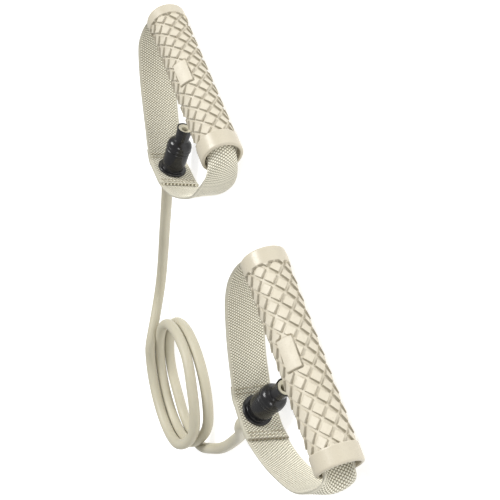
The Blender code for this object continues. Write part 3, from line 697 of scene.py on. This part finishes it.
def strap(handle):
    n_in = COLUMNS * 4
    inside = np.linspace(-WEB_WIDTH / 2 + SELVEDGE, WEB_WIDTH / 2 - SELVEDGE, n_in + 1)
    rim = np.array([0.0, 0.12, 0.38, 0.75, 1.2]) * MM
    across = np.concatenate([-WEB_WIDTH / 2 + rim, inside, (WEB_WIDTH / 2 - rim)[::-1]])
    cols = len(across)
    from_edge = WEB_WIDTH / 2 - np.abs(across)
    profile = np.interp(from_edge, np.array([0, 0.12, 0.38, 0.75, 1.2, 1.7]) * MM,
                        [0.30, 0.62, 0.86, 0.97, 1.0, 1.0])
    selvedge = 1 - smoothstep((from_edge - SELVEDGE + 0.1 * MM) / (0.5 * MM))
    col = np.clip((across + WEB_WIDTH / 2 - SELVEDGE) / PITCH_X, 0, COLUMNS - 1e-6)
    con = np.array(handle.connector_matrix().inverted())
    made = []
    for part, rows in enumerate(handle.strap_rows(across, PITCH_Y / 4)):
        count = len(rows)
        pts = handle.world(rows)
        along = np.arange(count) / 4.0
        normal = unit(np.cross(np.gradient(pts, axis=0), np.gradient(pts, axis=1)))
        bumps = weave_height(col[None, :], along[:, None]) * RELIEF * (1 - selvedge)[None, :]
        bumps += (0.5 + 0.5 * np.cos(2 * np.pi * along * 2))[:, None] * 0.05 * MM * selvedge[None, :]
        half = 0.5 * WEB_THICK - RELIEF * 0.75
        lift = (half + bumps) * profile[None, :]
        front, back = pts + normal * lift[..., None], pts - normal * lift[..., None]
        # the hole for the tube: cells near the connector's axis are left out
        local = pts @ con[:3, :3].T + con[:3, 3]
        centre = 0.25 * (local[:-1, :-1] + local[1:, :-1] + local[:-1, 1:] + local[1:, 1:])
        keep = ~((np.hypot(centre[..., 0], centre[..., 1]) < HOLE_R) & (np.abs(centre[..., 2]) < 8 * MM))
        ids = np.arange(count * cols).reshape(count, cols)
        off = count * cols
        quad = np.stack([ids[:-1, :-1], ids[:-1, 1:], ids[1:, 1:], ids[1:, :-1]], -1)
        front_faces = quad[keep][:, ::-1]
        back_faces = quad[keep] + off
        walls = []
        kept = np.pad(keep, 1, constant_values=False)
        for di, dj, p, q in ((-1, 0, 0, 1), (1, 0, 2, 3), (0, 1, 1, 2), (0, -1, 3, 0)):
            ni, nj = 1 + di, 1 + dj
            other = kept[ni:ni + keep.shape[0], nj:nj + keep.shape[1]]
            edge = keep & ~other
            walls.append(np.stack([quad[edge][:, p], quad[edge][:, q], quad[edge][:, q] + off,
                                   quad[edge][:, p] + off], -1))
        faces = np.concatenate([front_faces, back_faces] + [w[:, ::-1] for w in walls])
        verts = np.concatenate([front.reshape(-1, 3), back.reshape(-1, 3)])
        # the rim of the hole is round
        edge_ids = np.zeros(count * cols, bool)
        inner = np.pad(keep, 1, constant_values=True)
        some = np.zeros((count, cols), int)
        for di in (0, 1):
            for dj in (0, 1):
                some += inner[di:di + count, dj:dj + cols]
        near_hole = (some > 0) & (some < 4)
        edge_ids = np.concatenate([near_hole.ravel(), near_hole.ravel()])
        loc = verts @ con[:3, :3].T + con[:3, 3]
        rad = np.hypot(loc[:, 0], loc[:, 1])
        fix = edge_ids & (rad > 1e-6)
        loc[fix, :2] *= (HOLE_R / rad[fix])[:, None]
        back_rot = np.array(handle.connector_matrix())
        verts[fix] = (loc @ back_rot[:3, :3].T + back_rot[:3, 3])[fix]
        used = np.unique(faces)
        renumber = np.full(len(verts), -1)
        renumber[used] = np.arange(len(used))
        uv = np.stack(np.broadcast_arrays((col * PITCH_X / MM)[None, :], (along * PITCH_Y / MM)[:, None]), -1)
        uv = np.concatenate([uv.reshape(-1, 2)] * 2)
        # painted shadow over the last three rows at the cut end of each half, faint on handle a
        cut = np.zeros((count, cols))
        end = np.arange(count) if part == 0 else np.arange(count)[::-1]
        cut[:] = np.clip(1 - end / 3.0, 0, 1)[:, None] * (0.12 if handle.tag == "a" else 1.0)
        place = np.where(rows[:, rows.shape[1] // 2, 1] > 60 * MM, rows[:, rows.shape[1] // 2, 0], 9.0)
        sewn = np.max([np.exp(-((place - where) / (0.42 * MM)) ** 2)
                       * (0.5 if handle.tag == "a" and where < 0 else 1.0) for where in SEWN[handle.tag]], axis=0)
        flat = lambda q: np.concatenate([np.broadcast_to(q, (count, cols)).ravel()] * 2)[used]
        obj = add_mesh("webbing_%s_%s" % (handle.tag, "inner" if part == 0 else "outer"), verts[used],
                       renumber[faces], FABRIC, uv=uv[used],
                       attributes={"selvedge": flat(selvedge[None, :]), "cut_edge_shade": flat(cut),
                                   "sewn": flat(sewn[:, None] * (1 - 0.6 * selvedge)[None, :])})
        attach(obj, "straps_and_tube")
        if part == 0:
            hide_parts("webbing_" + handle.tag)
        made.append((obj, rows))
    return made


def stitches(handle, halves):
    """Two rows of sewing across the overlap, seen on both of its faces."""
    verts, faces = [], []
    sides = 8
    rings = 7
    for part, (obj, rows) in enumerate(halves):
        pts = handle.world(rows)
        normal = unit(np.cross(np.gradient(pts, axis=0), np.gradient(pts, axis=1)))
        out = handle.p
        for where in SEWN[handle.tag]:
            line = rows[:, rows.shape[1] // 2, 0]
            flat = rows[:, rows.shape[1] // 2, 1] > 60 * MM
            station = int(np.argmin(np.where(flat, np.abs(line - where), 9.0)))
            face = -1.0 if part == 0 else 1.0            # inner layer: towards the grip
            strip, nrm = pts[station], normal[station]
            nrm = nrm * (np.sign(nrm[len(nrm) // 2] @ out) * face)
            width = np.concatenate([[0.0], np.cumsum(np.linalg.norm(np.diff(strip, axis=0), axis=1))])
            count = 11
            for k in range(count):
                s0 = width[-1] * (0.055 + 0.89 * (k + 0.10) / count)
                s1 = width[-1] * (0.055 + 0.89 * (k + 0.90) / count)
                t = np.linspace(0, 1, rings)
                s = s0 + (s1 - s0) * t
                mid = np.stack([np.interp(s, width, strip[:, q]) for q in range(3)], 1)
                nn = unit(np.stack([np.interp(s, width, nrm[:, q]) for q in range(3)], 1))
                arch = np.sin(np.pi * t)
                mid = mid + nn * (0.5 * WEB_THICK - 0.28 * MM + 0.42 * MM * np.minimum(1, arch * 1.6))[:, None]
                run = unit(np.gradient(mid, axis=0))
                side = unit(np.cross(nn, run))
                rad = 0.30 * MM * (0.45 + 0.55 * np.minimum(1, arch * 2.2))
                ang = np.arange(sides) * 2 * math.pi / sides
                ring = (mid[:, None] + rad[:, None, None]
                        * (np.cos(ang)[None, :, None] * side[:, None] + np.sin(ang)[None, :, None] * nn[:, None]))
                base = len(verts)
                verts.extend(ring.reshape(-1, 3))
                verts.extend([mid[0], mid[-1]])
                tip0, tip1 = base + rings * sides, base + rings * sides + 1
                for i in range(rings - 1):
                    for j in range(sides):
                        j2 = (j + 1) % sides
                        q = [base + i * sides + j, base + i * sides + j2,
                             base + (i + 1) * sides + j2, base + (i + 1) * sides + j]
                        faces.append((q[0], q[1], q[2]))
                        faces.append((q[0], q[2], q[3]))
                for j in range(sides):
                    j2 = (j + 1) % sides
                    faces.append((tip0, base + j2, base + j))
                    last = base + (rings - 1) * sides
                    faces.append((tip1, last + j, last + j2))
    obj = add_mesh("stitching_" + handle.tag, np.array(verts), np.array(faces), THREAD)
    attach(obj, "straps_and_tube")
    return obj


# ---------------------------------------------------------------- connectors
def arc(cx, cy, radius, a0, a1, steps):
    """Points of (radius, height) on a small round, in millimetres."""
    return [((cx + radius * math.cos(math.radians(a0 + (a1 - a0) * k / steps))) * MM,
             (cy + radius * math.sin(math.radians(a0 + (a1 - a0) * k / steps))) * MM) for k in range(steps + 1)]


def connector(handle):
    tag = handle.tag
    con = handle.connector_matrix()
    g = GAP / MM
    body = arc(9.4 - 1.1, 20.2 - g - 1.1, 1.1, 90, 0, 8)
    body += arc(9.4 - 1.1, 7.4 + 1.1, 1.1, 0, -60, 6)
    body += arc(8.6 + 0.5, 7.4 - 0.75, 0.5, 120, 180, 3) + arc(8.6 + 0.5, 2.1 + g + 0.5, 0.5, 180, 270, 4)
    body += arc(11.35 - 0.85, 2.1 + g - 0.85, 0.85, 90, 0, 7)
    body += arc(11.35 - 0.45, g + 0.45, 0.45, 0, -90, 4)
    body += [(5.3 * MM, g * MM), (5.3 * MM, 3.2 * MM), (7.2 * MM, 6.4 * MM), (7.2 * MM, (20.2 - g) * MM)]
    one = turned("connector_body_" + tag, body, HOUSING, con)
    # thin flared lip, hollow neck, round shoulder, shallow furrow and a bead at the seam
    cap = arc(6.45 - 0.16, 40.5 - 0.16, 0.16, 90, 0, 3)
    for k in range(1, 12):
        t = k / 11
        h = 40.3 + (31.2 - 40.3) * t
        cap.append(((5.6 + 0.85 * (1 - t) ** 2.0) * MM, h * MM))
    cap += [(5.62 * MM, 29.6 * MM)]
    for k in range(10, -1, -1):
        tilt = math.radians(6.4 * k)
        cap.append(((4.45 + 5.2 * math.cos(tilt)) * MM, (23.9 + 5.2 * math.sin(tilt)) * MM))
    cap += [(9.55 * MM, 23.3 * MM), (9.62 * MM, 22.9 * MM)]
    cap += arc(9.85 - 1.0, 22.3, 1.0, 38, 0, 5) + arc(9.85 - 0.6, 20.2 + 0.6, 0.6, 0, -90, 5)
    cap += [(7.2 * MM, 20.2 * MM), (7.2 * MM, 23.2 * MM), (5.35 * MM, 28.2 * MM), (4.9 * MM, 31.0 * MM),
            (5.05 * MM, 36.0 * MM), (5.55 * MM, 38.8 * MM), (6.08 * MM, 40.45 * MM)]
    two = turned("connector_cap_" + tag + ".fine", cap, HOUSING, con)
    two.name = "connector_cap_fine_" + tag
    one.name = "connector_body_fine_" + tag
    for obj, node in ((one, "connector_body_"), (two, "connector_cap_")):
        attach(obj, "connector_" + tag)
        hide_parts(node + tag)

    back = -(2 * WEB_THICK + GAP) / MM
    e0 = back - g
    rim = [(6.0 * MM, -0.1 * MM), (6.0 * MM, e0 * MM), (8.6 * MM, e0 * MM)]
    rim += arc(8.65, e0 - 0.75, 0.75, 90, -60, 8)
    rim += [(7.6 * MM, (e0 - 1.62) * MM), (6.4 * MM, (e0 - 1.66) * MM)] + arc(5.75, e0 - 1.2, 0.45, -90, -180, 4)
    rim += [(5.3 * MM, -0.1 * MM)]
    eye = turned("eyelet_fine_" + tag, rim[::-1], EYELET, con, steps=72)
    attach(eye, "straps_and_tube")
    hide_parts("eyelet_" + tag)

    t0 = e0 - 1.5 - 2.0
    heights = [39.3, 36.0, 33.0, 30.0, 27.5, 25.5, 23.5, 22.0, 20.5, 19.0, 17.7, 16.5, 15.2, 14.0, 12.5, 11.0, 9.2,
               7.5, 5.2, 3.0]
    end = arc(5.30 - 0.3, 40.2 - 0.3, 0.3, 90, 0, 3) + [(5.12 * MM, 38.4 * MM)]
    for h in heights[1:]:
        swell = math.exp(-((h - 16.5) / 5.2) ** 2)
        end.append(((4.65 + 1.75 * swell) * MM, h * MM))
    end += [(4.6 * MM, 1.0 * MM), (4.6 * MM, t0 * MM), (2.75 * MM, t0 * MM)]
    for h in reversed(heights):
        swell = math.exp(-((h - 16.5) / 4.4) ** 2)
        end.append(((2.75 + 1.75 * swell) * MM, h * MM))
    stub = turned("tube_end_fine_" + tag, end, LATEX, con, steps=64)
    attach(stub, "straps_and_tube")
    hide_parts("tube_end_" + tag)


def repaint(node, mat):
    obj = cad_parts[node]
    obj.data.materials.clear()
    obj.data.materials.append(mat)


for one_handle in (HANDLE_A, HANDLE_B):
    stitches(one_handle, strap(one_handle))
    connector(one_handle)
    repaint("grip_core_" + one_handle.tag, CORE)
    repaint("plug_ball_" + one_handle.tag, PLUG)


# ---------------------------------------------------------- floor and lights
def add_floor():
    s = Shader("white_floor", Roughness=0.9, Specular_IOR_Level=0.1, Emission_Strength=0.70)
    s.bsdf.inputs["Base Color"].default_value = (0.60, 0.60, 0.60, 1.0)
    s.bsdf.inputs["Emission Color"].default_value = (1.0, 1.0, 1.0, 1.0)
    size = 15.0
    obj = add_mesh("floor", [(-size, -size, 0), (size, -size, 0), (size, size, 0), (-size, size, 0)],
                   [(0, 1, 2, 3)], s.mat, smooth=False)
    obj.location.z = -0.0002


def add_world(strength):
    world = bpy.data.worlds.new("studio")
    world.use_nodes = True
    back = world.node_tree.nodes["Background"]
    back.inputs["Color"].default_value = (1.0, 1.0, 1.0, 1.0)
    back.inputs["Strength"].default_value = strength
    scene.world = world


def add_area(name, direction, distance, size, power, size_y=None):
    data = bpy.data.lights.new(name, "AREA")
    data.shape = "RECTANGLE" if size_y else "DISK"
    data.size = size
    if size_y:
        data.size_y = size_y
    data.energy = power
    obj = bpy.data.objects.new(name, data)
    scene.collection.objects.link(obj)
    way = Vector(direction).normalized()
    target = Vector((0.0, -0.08, 0.015))
    obj.location = target + way * distance
    obj.rotation_mode = "QUATERNION"
    obj.rotation_quaternion = way.to_track_quat("Z", "Y")
    return obj


add_floor()
def add_sun(name, direction, spread, strength):
    data = bpy.data.lights.new(name, "SUN")
    data.angle = math.radians(spread)
    data.energy = strength
    obj = bpy.data.objects.new(name, data)
    scene.collection.objects.link(obj)
    obj.rotation_mode = "QUATERNION"
    obj.rotation_quaternion = Vector(direction).normalized().to_track_quat("Z", "Y")


add_world(0.48)
add_sun("key", (-0.50, 0.47, 0.727), 26.0, 2.35)
add_sun("fill", (0.70, 0.63, 0.36), 15.0, 0.60)

# -------------------------------------------------------------------- finish
bpy.context.view_layer.update()
